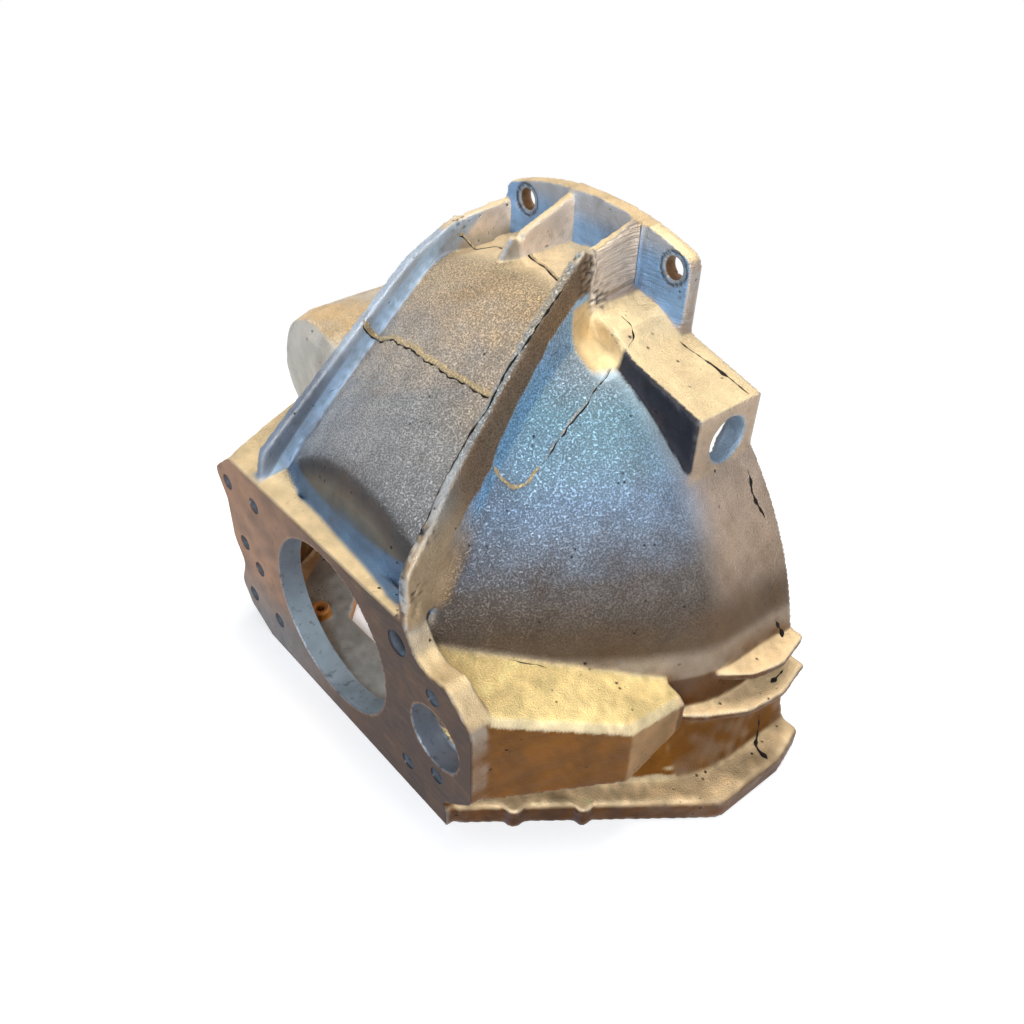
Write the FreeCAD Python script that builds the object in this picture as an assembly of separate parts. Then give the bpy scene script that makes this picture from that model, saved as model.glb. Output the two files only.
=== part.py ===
import FreeCAD, Part
import math
import os

# One aluminium casting. X is the crank axis, from the gearbox face at x = 0 to the engine face.
# Z is up from the flat bottom joint that the housing stands on. Lengths are in mm.
V = FreeCAD.Vector

# gearbox face: y, z and corner radius round the plate, then its bores and holes
plate_t = 15.0
plate_top = 63.5
joint_z = -71.5
plate_outline = [(-76.0, plate_top, 5.0), (-88.0, 46.0, 8.0), (-97.0, 42.0, 6.0), (-114.0, 45.0, 9.0),
                 (-134.0, 28.0, 9.0), (-134.0, -30.0, 8.0), (-108.0, -54.0, 5.0),
                 (-113.0, -60.0, 3.0), (-113.0, joint_z, 1.0), (84.0, joint_z, 8.0),
                 (107.0, -59.0, 7.0), (116.0, -43.0, 8.0), (107.0, -22.0, 9.0), (116.0, -5.0, 12.0),
                 (116.0, 26.0, 12.0), (126.0, 46.0, 7.0), (105.0, plate_top, 14.0)]
main_bore_r = 57.5
small_bore_r = 21.2
small_bore_y = -102.8
small_bore_z = -3.0
bore_chamfer = 0.8
tapped_r = 5.4
tapped_depth = 12.0
tapped_holes = [(111.0, 42.0), (78.0, 43.0), (101.0, -1.0), (85.0, -13.0), (101.0, -46.0),
                (68.0, -46.0), (-102.0, 29.0), (-76.0, -49.0), (-104.0, -34.0)]
dowel_r = 8.0
dowel_y = -72.0
dowel_z = 45.0

# engine flange with its two ears
depth = 204.0
flange_t = 9.0
flange_lip = 1.5
ear_r = 212.0
ear_right_y = -71.0
ear_left_y = 78.0
ear_corner_r = 9.0
ear_foot_z = 150.0
bolt_circle_r = 200.9
bolt_y = 59.0
bolt_hole_r = 6.5
spot_r = 10.0
spot_depth = 0.8

# bell sections: x, crown radius, half width at mid height, half width at the bottom joint
wall = 8.0
bell = [(12.0, 86.5, 88.0, 103.0), (26.0, 97.0, 98.5, 113.5), (45.0, 110.5, 112.0, 128.0),
        (65.0, 125.0, 127.0, 142.5), (85.0, 138.5, 142.0, 157.5), (104.0, 150.5, 156.0, 171.5),
        (114.0, 155.5, 163.0, 178.3), (124.0, 159.8, 169.6, 184.0), (134.0, 162.2, 175.2, 188.0),
        (144.0, 163.5, 178.7, 190.0), (156.0, 164.3, 180.4, 190.5), (depth, 165.0, 181.0, 190.5)]
haunch = math.radians(45.0)

# raised panel between the long ribs, turned about the crank axis: x, radius and corner radius
panel = [(14.0, 62.0, 0.0), (24.0, 95.5, 7.0), (136.0, 180.0, 32.0), (depth, 181.0, 0.0)]

# long ribs: x, z and corner radius along each crest
rib_t = 6.0
rib_foot = 60.0
left_rib_y = 75.0
left_crest = [(4.0, 63.0, 0.0), (9.0, 81.0, 8.0), (84.0, 142.0, 60.0), (119.0, 170.5, 30.0),
              (150.0, 185.0, 40.0), (depth, 189.0, 0.0)]
right_rib_y0 = -78.5
right_rib_slope = 0.274
right_crest = [(0.5, 62.0, 0.0), (2.0, 94.0, 10.0), (38.0, 130.0, 60.0), (101.0, 180.5, 100.0),
               (depth - 58.0, 207.5, 4.0), (depth - 48.0, 203.0, 4.0), (depth - 46.0, 160.0, 0.0)]
foot_r = 5.0
foot_sink = 0.4
flank_foot_rise = 11.0
flank_foot_reach = 13.0

# short gussets under the engine flange and the nub on the crown
gusset_t = 5.5
gusset_y = 20.0
gusset = [(depth - 53.0, 176.0, 0.0), (depth - 47.0, 195.0, 3.0), (depth, ear_r, 0.0)]
gusset_base = 170.0
side_gusset_y0 = -36.0
side_gusset_y1 = -29.5
side_gusset = [(depth - 54.0, 203.0, 3.0), (depth - 7.0, 209.5, 0.0)]
nub_y0 = 26.0
nub_slope = -0.4
nub_t = 5.0
nub = [(141.0, 174.0, 0.0), (152.0, 195.0, 2.0), (depth - 46.0, 186.0, 0.0), (depth - 46.0, 176.0, 0.0)]

# boss with the cross hole: its top as y and z, level with the engine face
boss_x = depth - 48.5
boss_top = [(-24.0, 175.0, 0.0), (-58.0, 167.0, 14.0), (-71.0, 157.0, 18.0), (-123.0, 144.0, 0.0)]
boss_edge = 2.0
boss_end_wall = 14.0
boss_low = 104.5
boss_root_y = -24.0
cross_r = 13.3
cross_x = depth - 22.0
cross_z = 123.5

# tunnel behind the small bore: its plan, its side profile in the plane of the outer end face,
# and how much it rises per mm towards the crank axis
tunnel_wall = 5.0
tunnel_x = plate_t - tunnel_wall
tunnel_lean = 0.19
tunnel_edge = 2.5
tunnel_y = -177.0
tunnel_plan = [(tunnel_x, -132.5, 0.0), (73.0, tunnel_y, 0.0), (114.0, tunnel_y, 0.0),
               (114.0, -120.0, 0.0), (73.0, -80.0, 0.0), (tunnel_x, -55.0, 0.0)]
tunnel_side = [(tunnel_x, 20.8, 0.0), (73.0, 17.5, 0.0), (114.0, 12.5, 0.0), (114.0, -10.0, 0.0),
               (73.0, -26.0, 0.0), (tunnel_x, -44.2, 0.0)]

# bottom joint rim, its bolt lugs and the open bottom
rim_t = 14.0
rim_edge = 2.5
rim_foot_r = 7.0
rim = [(6.0, -115.0, 0.0), (126.0, -207.0, 12.0), (depth - 24.0, -207.0, 20.0), (depth, -200.0, 0.0),
       (depth, 200.0, 0.0), (depth - 24.0, 207.0, 20.0), (126.0, 207.0, 12.0), (6.0, 100.0, 0.0)]
lug_r = 6.0
lugs = [(33.0, -132.5), (64.5, -156.5), (33.0, 120.0), (64.5, 148.5)]
floor_t = 10.0
opening = [(46.0, -57.0, 6.0), (140.0, -152.0, 30.0), (depth + 1.0, -165.0, 0.0),
           (depth + 1.0, 165.0, 0.0), (140.0, 152.0, 30.0), (46.0, 57.0, 6.0)]

# the two shelves low on the right flank: x, y and corner radius
shelf_t = 5.0
low_shelf_z = -9.5
low_shelf = [(112.0, -150.0, 0.0), (114.0, -169.0, 3.0), (130.0, -182.0, 10.0), (152.0, -194.5, 14.0),
             (depth - 26.0, -197.5, 20.0), (depth, -191.0, 0.0), (depth, -150.0, 0.0)]
high_shelf_z = 9.5
high_shelf = [(138.0, -150.0, 0.0), (141.0, -174.0, 5.0), (158.0, -187.0, 12.0), (depth - 26.0, -192.0, 20.0),
              (depth, -185.5, 0.0), (depth, -150.0, 0.0)]

# squared side behind the plate, left of the left rib
cheek_top = plate_top
cheek_edge_r = 8.0
cheek_x = plate_t - wall
cheek = [(cheek_x, 50.0, 0.0), (cheek_x, 113.5, 0.0), (34.0, 127.0, 30.0), (78.0, 146.0, 20.0),
         (112.0, 150.0, 0.0), (112.0, 50.0, 0.0)]

# starter pocket on the left flank
pocket_y = 112.0
pocket_z = 90.0
pocket_r = 41.0
pocket_x = 65.0
pocket_nose = 20.0

# tapped boss on the floor inside
floor_boss_x = 31.0
floor_boss_y = 70.0
floor_boss_r = 7.0
floor_boss_top = -54.0
floor_boss_hole_r = 3.2

flange_x = depth - flange_t


def rounded(corners, place, closed=True):
    # outline through the corners, each one rounded by its own radius
    n = len(corners)
    edges = []
    last = None
    first = None
    for i, (a, b, r) in enumerate(corners):
        here = V(a, b, 0)
        before = V(*corners[i - 1][:2], 0)
        after = V(*corners[(i + 1) % n][:2], 0)
        u = (before - here).normalize()
        w = (after - here).normalize()
        start = here
        end = here
        if r > 0 and (closed or 0 < i < n - 1):
            half = math.acos(max(-1.0, min(1.0, u.dot(w)))) / 2.0
            run = r / math.tan(half)
            start = here + u * run
            end = here + w * run
            mid = here + (u + w).normalize() * (r / math.sin(half) - r)
        if last is not None:
            edges.append(Part.makeLine(place(last), place(start)))
        if start is not here:
            edges.append(Part.Arc(place(start), place(mid), place(end)).toShape())
        if first is None:
            first = start
        last = end
    if closed:
        edges.append(Part.makeLine(place(last), place(first)))
    return Part.Wire(edges)


def prism_x(corners, x0, x1):
    wire = rounded(corners, lambda p: V(x0, p.x, p.y))
    return Part.Face(wire).extrude(V(x1 - x0, 0, 0))


def prism_z(corners, z0, z1):
    wire = rounded(corners, lambda p: V(p.x, p.y, z0))
    return Part.Face(wire).extrude(V(0, 0, z1 - z0))


def web(crest, y0, slope, thick, base):
    # upright web over the plan line that starts at y0 and gains slope per mm of x
    xa = crest[0][0]
    low = [(crest[-1][0], base, 0.0), (xa, base, 0.0)]
    wire = rounded(crest + low, lambda p: V(p.x, y0 + slope * (p.x - xa), p.y))
    across = V(slope, -1, 0).normalize()
    side = Part.Face(wire)
    side.translate(across * (-thick / 2.0))
    return side.extrude(across * thick)


def turned(profile, y=0.0, z=0.0):
    wire = rounded(profile, lambda p: V(p.x, y, z + p.y))
    return Part.Face(wire).revolve(V(0, y, z), V(1, 0, 0), 360)


def drum(r, x0, x1, y, z):
    return Part.makeCylinder(r, x1 - x0, V(x0, y, z), V(1, 0, 0))


def countersunk(r, x0, x1, y, z, edge):
    # hole along X from the face at x = 0, its mouth opened by a small cone
    cone = Part.makeCone(r + edge, r, edge, V(0, y, z), V(1, 0, 0))
    return drum(r, x0, x1, y, z).fuse(cone)


def side_top(r, w):
    # height at which the haunch arc ends upright, for that crown radius and half width
    rho = (w - r * math.sin(haunch)) / (1.0 - math.sin(haunch))
    return (r - rho) * math.cos(haunch)


def bell_wire(x, crown, mid, low, inset, foot):
    # crown arc about the crank axis, haunch arc that ends upright, straight side to the foot
    r = crown - inset
    w = mid - inset
    b = low - inset
    s = math.sin(haunch)
    c = math.cos(haunch)
    rho = (w - r * s) / (1.0 - s)
    cy = (rho - r) * s
    cz = side_top(r, w)
    turn = (haunch + math.pi / 2.0) / 2.0
    top = V(x, 0, r)
    bend = V(x, -r * s, r * c)
    crown_mid = V(x, -r * math.sin(haunch / 2.0), r * math.cos(haunch / 2.0))
    flank_mid = V(x, cy - rho * math.sin(turn), cz + rho * math.cos(turn))
    side = V(x, -w, cz)
    toe = V(x, -b, foot)

    def flip(p):
        return V(p.x, -p.y, p.z)

    edges = [Part.Arc(top, crown_mid, bend).toShape(), Part.Arc(bend, flank_mid, side).toShape(),
             Part.makeLine(side, toe), Part.makeLine(toe, flip(toe)),
             Part.makeLine(flip(toe), flip(side)),
             Part.Arc(flip(side), flip(flank_mid), flip(bend)).toShape(),
             Part.Arc(flip(bend), flip(crown_mid), top).toShape()]
    return Part.Wire(edges)


def shrunk(corners, gap):
    # the same outline with every side moved inwards by the gap, its round corners kept concentric
    n = len(corners)
    area = sum(corners[i - 1][0] * corners[i][1] - corners[i][0] * corners[i - 1][1] for i in range(n))
    turn = 1.0 if area > 0 else -1.0
    out = []
    for i, (a, b, r) in enumerate(corners):
        before = V(a - corners[i - 1][0], b - corners[i - 1][1], 0).normalize()
        after = V(corners[(i + 1) % n][0] - a, corners[(i + 1) % n][1] - b, 0).normalize()
        inward = (V(-before.y, before.x, 0) + V(-after.y, after.x, 0)) * turn
        bend = before.x * after.y - before.y * after.x
        step = inward * (gap / (1.0 + before.dot(after)))
        near = r - gap if bend * turn > 0 else r + gap
        out.append((a + step.x, b + step.y, max(0.0, near) if r > 0 else 0.0))
    return out


def softened(solid, r, chosen):
    # the same solid with the edges that the test picks rounded off
    return solid.makeFillet(r, [e for e in solid.Edges if chosen(e.CenterOfMass)])


# outside forms
crown = turned(panel + [(depth, 20.0, 0.0), (14.0, 20.0, 0.0)])
right_y_end = right_rib_y0 + right_rib_slope * depth
between_ribs = [(0.0, right_rib_y0, 0.0), (depth + 1.0, right_y_end, 0.0),
                (depth + 1.0, left_rib_y, 0.0), (0.0, left_rib_y, 0.0)]
between_low = rib_foot / 2.0
between_high = ear_r + 1.0
between = prism_z(between_ribs, between_low, between_high)
crown = crown.common(between)
shell = Part.makeLoft([bell_wire(*row, 0.0, joint_z + 1.0) for row in bell], True, True).cut(between)
plate = prism_x(plate_outline, 0.0, plate_t)
left_rib = web(left_crest, left_rib_y, 0.0, rib_t, rib_foot)
right_rib = web(right_crest, right_rib_y0, right_rib_slope, rib_t, rib_foot)


def cove_section(corner, up, out):
    # concave fillet seen across: from corner + up round to corner + out, its root sunk in the metal
    top = corner + up
    toe = corner + out
    mid = corner * 0.5 + (top + toe) * 0.25
    root = corner - (up + out) * 0.4
    return Part.Wire([Part.Arc(top, mid, toe).toShape(), Part.makeLine(toe, root), Part.makeLine(root, top)])


def rib_cove(rib_y, rib_slope, side, rise, reach, rows):
    # fillet along the foot of a rib, on that side of it, over a surface turned about the crank axis;
    # it runs out at its far end
    sections = []
    for x, radius in rows:
        size = 1.0 if x < rows[-1][0] else 0.2
        r = radius - foot_sink
        y = rib_y + rib_slope * x + side * (rib_t / 2.0 - foot_sink)
        corner = V(x, y, math.sqrt(r * r - y * y))
        turn = math.atan2(y, corner.z) + side * size * reach / r
        toe = V(x, r * math.sin(turn), r * math.cos(turn))
        sections.append(cove_section(corner, V(0, 0, size * rise), toe - corner))
    return Part.makeLoft(sections, True, True)


def panel_radius(x):
    share = (x - panel[1][0]) / (panel[2][0] - panel[1][0])
    return panel[1][1] + share * (panel[2][1] - panel[1][1])


knee = 8.0
panel_rows = [(x, panel_radius(x)) for x in (panel[1][0] + 2.0, 39.0, 56.0, 78.0, 104.0, panel[2][0] - knee)]
flank_rows = [row[:2] for row in bell[1:-1]]
coves = [rib_cove(left_rib_y, 0.0, -1.0, foot_r, foot_r, panel_rows),
         rib_cove(left_rib_y, 0.0, 1.0, foot_r, foot_r, flank_rows),
         rib_cove(right_rib_y0, right_rib_slope, 1.0, foot_r, foot_r, panel_rows),
         rib_cove(right_rib_y0, right_rib_slope, -1.0, flank_foot_rise, flank_foot_reach, flank_rows)]
for side in (-1.0, 1.0):
    sections = []
    for x, crown_r, mid, low in bell[1:]:
        share = (rim_t - 1.0) / (side_top(crown_r, mid) - joint_z - 1.0)
        foot = V(x, side * (low + share * (mid - low) - foot_sink), joint_z + rim_t - foot_sink)
        sections.append(cove_section(foot, V(0, 0, rim_foot_r), V(0, side * rim_foot_r, 0)))
    coves.append(Part.makeLoft(sections, True, True))
mid_gusset = web(gusset, gusset_y, 0.0, gusset_t, gusset_base)
side_slope = (side_gusset_y1 - side_gusset_y0) / (side_gusset[-1][0] - side_gusset[0][0])
end_gusset = web(side_gusset, side_gusset_y0, side_slope, gusset_t, gusset_base - 10.0)
crown_nub = web(nub, nub_y0, nub_slope, nub_t, gusset_base)

boss_section = boss_top + [(boss_top[-1][0], boss_low, 0.0), (boss_root_y, boss_low, 0.0)]
boss = prism_x(boss_section, boss_x, depth)
boss = boss.makeChamfer(boss_edge, [e for e in boss.Edges if e.CenterOfMass.x < boss_x + 0.1
                                    and e.CenterOfMass.y < boss_top[1][0] and e.CenterOfMass.z > boss_low + 1.0])
ear_outline = [(ear_right_y, ear_foot_z, 0.0), (ear_right_y, ear_r, 0.0),
               (ear_left_y, ear_r, 0.0), (ear_left_y, ear_foot_z, 0.0)]
ears = prism_x(ear_outline, flange_x, depth).common(drum(ear_r, flange_x, depth, 0.0, 0.0))
ears = softened(ears, ear_corner_r, lambda p: p.z > ear_foot_z + 20.0 and abs(p.y) > 60.0
                and flange_x + 1.0 < p.x < depth - 1.0)
end = bell[-1]
band = Part.Face(bell_wire(flange_x, end[1] + flange_lip, end[2] + flange_lip, end[3], 0.0,
                           joint_z + 1.0)).extrude(V(flange_t, 0, 0))



def leaning(side_outline, plan):
    # body with that side profile, sloping up towards the crank axis, cut to the plan
    wire = rounded(side_outline, lambda p: V(p.x, tunnel_y - 2.0, p.y))
    run = -tunnel_y
    slab = Part.Face(wire).extrude(V(0, run, run * tunnel_lean))
    return slab.common(prism_z(plan, joint_z, plate_top))


def bevelled(solid, a, b, out, cut):
    # the same solid with the edge from a to b planed off square to the direction out
    along = (b - a).normalize()
    facing = (out - along * out.dot(along)).normalize()
    across = along.cross(facing)
    wide = 4.0 * cut
    corner = a - facing * cut - along * wide - across * wide
    run = along * ((b - a).Length + 2.0 * wide)
    plane = Part.makePolygon([corner, corner + run, corner + run + across * (2.0 * wide),
                              corner + across * (2.0 * wide), corner])
    return solid.cut(Part.Face(plane).extrude(facing * wide))


def tunnel_corner(i, j):
    # top corner of the tunnel over that point of its plan, from that point of its side profile
    x, y = tunnel_plan[i][:2]
    return V(x, y, tunnel_side[j][1] + tunnel_lean * (y - tunnel_y))


tunnel_body = leaning(tunnel_side, tunnel_plan)
tops = [tunnel_corner(k, k) for k in range(3)]
tunnel_body = bevelled(tunnel_body, tops[0], tops[1], V(-0.6, -0.8, 1.0), tunnel_edge)
tunnel_body = bevelled(tunnel_body, tops[1], tops[2], V(0.0, -1.0, 1.0), tunnel_edge)


def pocket_profile(gap):
    # blunt nose of the starter pocket, moved inwards by the gap
    nose = [(0.0, 0.50), (0.10, 0.72), (0.38, 0.92), (1.0, 1.0)]
    return [(pocket_x + gap, 0.0, 0.0)] + [(pocket_x + gap + pocket_nose * a, (pocket_r - gap) * b, 0.0)
                                           for a, b in nose]


rim_body = prism_z(rim, joint_z, joint_z + rim_t)
rim_body = rim_body.makeChamfer(rim_edge, [e for e in rim_body.Edges if e.CenterOfMass.x < depth - 1.0
                                           and e.CenterOfMass.z > joint_z + rim_t - 0.1])
lug_bodies = [Part.makeCylinder(lug_r, rim_t, V(x, y, joint_z)) for x, y in lugs]
low_ledge = prism_z(low_shelf, low_shelf_z - shelf_t / 2.0, low_shelf_z + shelf_t / 2.0)
high_ledge = prism_z(high_shelf, high_shelf_z - shelf_t / 2.0, high_shelf_z + shelf_t / 2.0)
cheek_body = softened(prism_z(cheek, joint_z + 1.0, cheek_top), cheek_edge_r,
                      lambda p: p.z > cheek_top - 0.1 and p.y > 115.0 and p.x < 100.0)
pocket = turned(pocket_profile(0.0) + [(depth, pocket_r, 0.0), (depth, 0.0, 0.0)], pocket_y, pocket_z)

body = shell.multiFuse([rim_body, crown, left_rib, right_rib, plate, mid_gusset, end_gusset, crown_nub, boss, ears, band,
                       tunnel_body, low_ledge, high_ledge, cheek_body, pocket] + coves + lug_bodies)
print("outside", body.isValid(), len(body.Solids), round(body.Volume / 1000.0))

# inside room of the bell, the panel, the pocket, the cheek, the boss and the tunnel
floor_z = joint_z + floor_t
room_x = plate_t + 1.0
past_x = depth + 1.0
share = (room_x - bell[0][0]) / (bell[1][0] - bell[0][0])
first_row = (room_x,) + tuple(a + share * (b - a) for a, b in zip(bell[0][1:], bell[1][1:]))
rows = [first_row] + bell[1:-1:2] + [(past_x,) + bell[-1][1:]]
room = Part.makeLoft([bell_wire(*row, wall, floor_z) for row in rows], True, True)
inset = rib_t / 2.0 - 0.5
within_ribs = prism_z([(0.0, right_rib_y0 + inset, 0.0), (past_x, right_y_end + inset, 0.0),
                       (past_x, left_rib_y - inset, 0.0), (0.0, left_rib_y - inset, 0.0)],
                      between_low, between_high)
room = room.cut(within_ribs)
panel_under = shrunk(panel + [(past_x + wall, panel[-1][1], 0.0), (past_x + wall, 0.0, 0.0),
                              (room_x - wall, 0.0, 0.0)], wall)
panel_room = turned([(room_x, 20.0, 0.0)] + panel_under[:4] + [(past_x, 20.0, 0.0)])
panel_room = panel_room.common(within_ribs)
pocket_room = turned(pocket_profile(wall) + [(past_x, pocket_r - wall, 0.0), (past_x, 0.0, 0.0)],
                     pocket_y, pocket_z)
cheek_room = prism_z(shrunk(cheek, wall), floor_z, cheek_top - wall)
tunnel_room = leaning(shrunk(tunnel_side, tunnel_wall), shrunk(tunnel_plan, tunnel_wall))
boss_end = boss_top[-1][0] + boss_end_wall
slope = (boss_top[-1][1] - boss_top[-2][1]) / (boss_top[-1][0] - boss_top[-2][0])
boss_under = [(boss_end, boss_top[-1][1] - wall + slope * boss_end_wall, 0.0),
              (boss_top[-2][0], boss_top[-2][1] - wall, 0.0),
              (boss_top[-2][0] + wall, boss_low, 0.0), (boss_end, boss_low, 0.0)]
boss_room = prism_x(boss_under, boss_x + wall, past_x)
body = body.cut([room, panel_room, pocket_room, cheek_room, tunnel_room, boss_room])
print("hollow", body.isValid(), len(body.Solids), round(body.Volume / 1000.0))

# bottom opening, bores and holes
cuts = [prism_z(opening, joint_z - 1.0, floor_z + 1.0)]
cuts.append(countersunk(main_bore_r, -1.0, room_x, 0.0, 0.0, bore_chamfer))
cuts.append(countersunk(small_bore_r, -1.0, plate_t, small_bore_y, small_bore_z, bore_chamfer))
cuts += [drum(tapped_r, -1.0, tapped_depth, y, z) for y, z in tapped_holes]
cuts.append(drum(dowel_r, -1.0, plate_t + 0.5, dowel_y, dowel_z))
cuts.append(Part.makeBox(rib_t, 2.0 * ear_r, 2.0 * ear_r, V(-rib_t, -ear_r, joint_z)))
bolt_z = math.sqrt(bolt_circle_r ** 2 - bolt_y ** 2)
for side in (-1.0, 1.0):
    cuts.append(drum(bolt_hole_r, flange_x - 1.0, depth + 1.0, side * bolt_y, bolt_z))
    cuts.append(drum(spot_r, flange_x - 1.0, flange_x + spot_depth, side * bolt_y, bolt_z))
cross_y = boss_top[-1][0]
cuts.append(Part.makeCylinder(cross_r, boss_end_wall + wall, V(cross_x, cross_y - 1.0, cross_z), V(0, 1, 0)))
cuts.append(Part.makeCylinder(cross_r + 2.0, wall, V(cross_x, cross_y - wall, cross_z), V(0, 1, 0)))
body = body.cut(cuts)

floor_boss_h = floor_boss_top - floor_z
floor_boss = Part.makeCylinder(floor_boss_r, floor_boss_h + 1.0, V(floor_boss_x, floor_boss_y, floor_z - 1.0))
floor_hole = Part.makeCylinder(floor_boss_hole_r, floor_boss_h + 4.0,
                               V(floor_boss_x, floor_boss_y, floor_boss_top - floor_boss_h - 3.0))
body = body.fuse(floor_boss).cut(floor_hole)
body = body.removeSplitter()
print("finished", body.isValid(), len(body.Solids), round(body.Volume / 1000.0))

os.makedirs("parts", exist_ok=True)
body.exportStep("parts/clutch_housing.step")
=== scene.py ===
import math
import bpy
import numpy as np
from mathutils import Matrix, Vector


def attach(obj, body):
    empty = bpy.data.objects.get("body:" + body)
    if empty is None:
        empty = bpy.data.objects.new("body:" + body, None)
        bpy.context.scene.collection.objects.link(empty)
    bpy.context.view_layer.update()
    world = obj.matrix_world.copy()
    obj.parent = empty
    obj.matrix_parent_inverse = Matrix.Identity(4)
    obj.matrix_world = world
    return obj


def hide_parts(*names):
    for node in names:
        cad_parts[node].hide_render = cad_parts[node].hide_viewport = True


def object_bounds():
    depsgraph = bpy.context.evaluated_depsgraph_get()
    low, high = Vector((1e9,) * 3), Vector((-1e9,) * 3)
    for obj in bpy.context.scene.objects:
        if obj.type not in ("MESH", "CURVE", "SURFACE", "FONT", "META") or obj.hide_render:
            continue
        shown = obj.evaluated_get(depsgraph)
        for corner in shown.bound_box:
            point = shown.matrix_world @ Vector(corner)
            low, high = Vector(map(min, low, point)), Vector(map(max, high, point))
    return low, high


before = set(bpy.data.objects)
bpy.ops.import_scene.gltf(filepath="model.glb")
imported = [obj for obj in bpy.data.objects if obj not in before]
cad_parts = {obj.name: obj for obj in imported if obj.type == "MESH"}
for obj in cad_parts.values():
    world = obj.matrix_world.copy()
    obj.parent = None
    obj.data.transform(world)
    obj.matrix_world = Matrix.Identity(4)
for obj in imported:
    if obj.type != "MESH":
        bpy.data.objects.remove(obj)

cadBox = [list(corner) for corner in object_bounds()]
mm = 0.001
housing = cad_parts["clutch_housing"]


class Wire:
    # a node's socket that can be added, multiplied and compared like a number
    def __init__(self, bench, socket):
        self.bench = bench
        self.socket = socket

    def __add__(self, other):
        return self.bench.maths("ADD", self, other)

    __radd__ = __add__

    def __mul__(self, other):
        return self.bench.maths("MULTIPLY", self, other)

    __rmul__ = __mul__

    def __sub__(self, other):
        return self.bench.maths("SUBTRACT", self, other)

    def __rsub__(self, other):
        return self.bench.maths("SUBTRACT", other, self)

    def clamp(self):
        return self.bench.maths("ADD", self, 0.0, clamped=True)

    def between(self, low, high):
        # 0 below low, 1 above high, a straight ramp between
        return ((self - low) * (1.0 / (high - low))).clamp()


class Bench:
    # one material's node tree
    def __init__(self, name):
        self.material = bpy.data.materials.new(name)
        self.material.use_nodes = True
        self.tree = self.material.node_tree
        self.shader = self.tree.nodes["Principled BSDF"]

    def node(self, kind, settings=None, sockets=None, out=0):
        made = self.tree.nodes.new(kind)
        for key, value in (settings or {}).items():
            setattr(made, key, value)
        for key, value in (sockets or {}).items():
            self.plug(made.inputs[key], value)
        return Wire(self, made.outputs[out])

    def plug(self, socket, value):
        if isinstance(value, Wire):
            self.tree.links.new(value.socket, socket)
        elif isinstance(value, tuple) and len(value) == 3 and socket.type == "RGBA":
            socket.default_value = (*value, 1.0)
        else:
            socket.default_value = value

    def maths(self, operation, a, b, clamped=False):
        return self.node("ShaderNodeMath", {"operation": operation, "use_clamp": clamped}, {0: a, 1: b})

    def mix(self, factor, a, b, blend="MIX"):
        settings = {"data_type": "RGBA", "blend_type": blend}
        return self.node("ShaderNodeMix", settings, {0: factor, 6: a, 7: b}, out=2)

    def noise(self, place, scale, detail=3.0, rough=0.55, twist=0.0):
        values = {"Vector": place, "Scale": scale, "Detail": detail, "Roughness": rough, "Distortion": twist}
        return self.node("ShaderNodeTexNoise", {}, values)

    def mark(self, name):
        # a number painted on the piece's own points
        return self.node("ShaderNodeAttribute", {"attribute_name": name}, {}, out=2)

    def paint(self, name):
        # a colour painted on the piece's own points
        return self.node("ShaderNodeAttribute", {"attribute_name": name}, {}, out=0)

    def finish(self, **values):
        for key, value in values.items():
            self.plug(self.shader.inputs[key.replace("_", " ")], value)
        return self.material


def hue(red, green, blue):
    # a colour given as a screen shows it, 0 to 255, made linear light
    return tuple(((c / 255.0 + 0.055) / 1.055) ** 2.4 for c in (red, green, blue))


def ramp(value, low, high):
    # 0 at low, 1 at high, smooth between; low may be the larger
    share = np.clip((value - low) / (high - low), 0.0, 1.0)
    return share * share * (3.0 - 2.0 * share)


def window(value, low, high, soft):
    return ramp(value, low - soft, low) * ramp(value, high + soft, high)


def waves(p, size, seed):
    # smooth seeded noise: the mean of plane waves in random directions, each about that size long
    dice = np.random.default_rng(seed)
    total = np.zeros(len(p))
    for step in range(14):
        way = dice.normal(size=3)
        way /= np.linalg.norm(way)
        total += np.sin(p @ way * (2.0 * math.pi / size / dice.uniform(0.6, 1.6)) + dice.uniform(0, 6.3))
    return total / math.sqrt(14 / 2.0)


# the casting's skin: the CAD solid remeshed, its inner corners filled and its edges eased
skinSizes = {"voxel": 1.3 * mm, "fillRounds": 15, "deepRounds": 64, "noseRounds": 44, "easeRounds": 1,
             "fillPull": 0.9, "nosePull": 0.6, "easePull": 0.5, "lump": 0.16 * mm, "parts": 5, "snap": 0.85}

# machined planes: the engine face and the bottom joint; the gearbox face is at x = 0
backX = round(cadBox[1][0] / mm, 3)
jointZ = round(cadBox[0][2] / mm, 3)
# machined bores and holes: y, z, radius, from x, to x
boreList = [(0.0, 0.0, 57.5, 0.8, 16.0), (-102.8, -3.0, 21.2, 0.8, 15.0), (-72.0, 45.0, 8.0, 0.0, 15.0)]
boreList += [(y, z, 5.4, 0.0, 12.5) for y, z in
             [(111.0, 42.0), (78.0, 43.0), (101.0, -1.0), (85.0, -13.0), (101.0, -46.0), (68.0, -46.0),
              (-102.0, 29.0), (-76.0, -49.0), (-104.0, -34.0)]]

# forms of the casting that the paint and the fillets follow, in mm: the panel's cone, the middle of the
# right rib, the inner face of the left rib, and the bell's crown radius and half width by x
panelCone = {"start": 77.4, "slope": 0.754, "end": 180.0}
rightRib = {"start": -78.5, "slope": 0.274}
leftRibY = 72.0
bellForm = {"x": [12, 45, 85, 114, 144, 204], "crown": [86.5, 110.5, 138.5, 155.5, 163.5, 165],
            "wide": [88, 112, 142, 163, 178.7, 181]}


def ribAt(x):
    return rightRib["start"] + rightRib["slope"] * x


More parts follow.
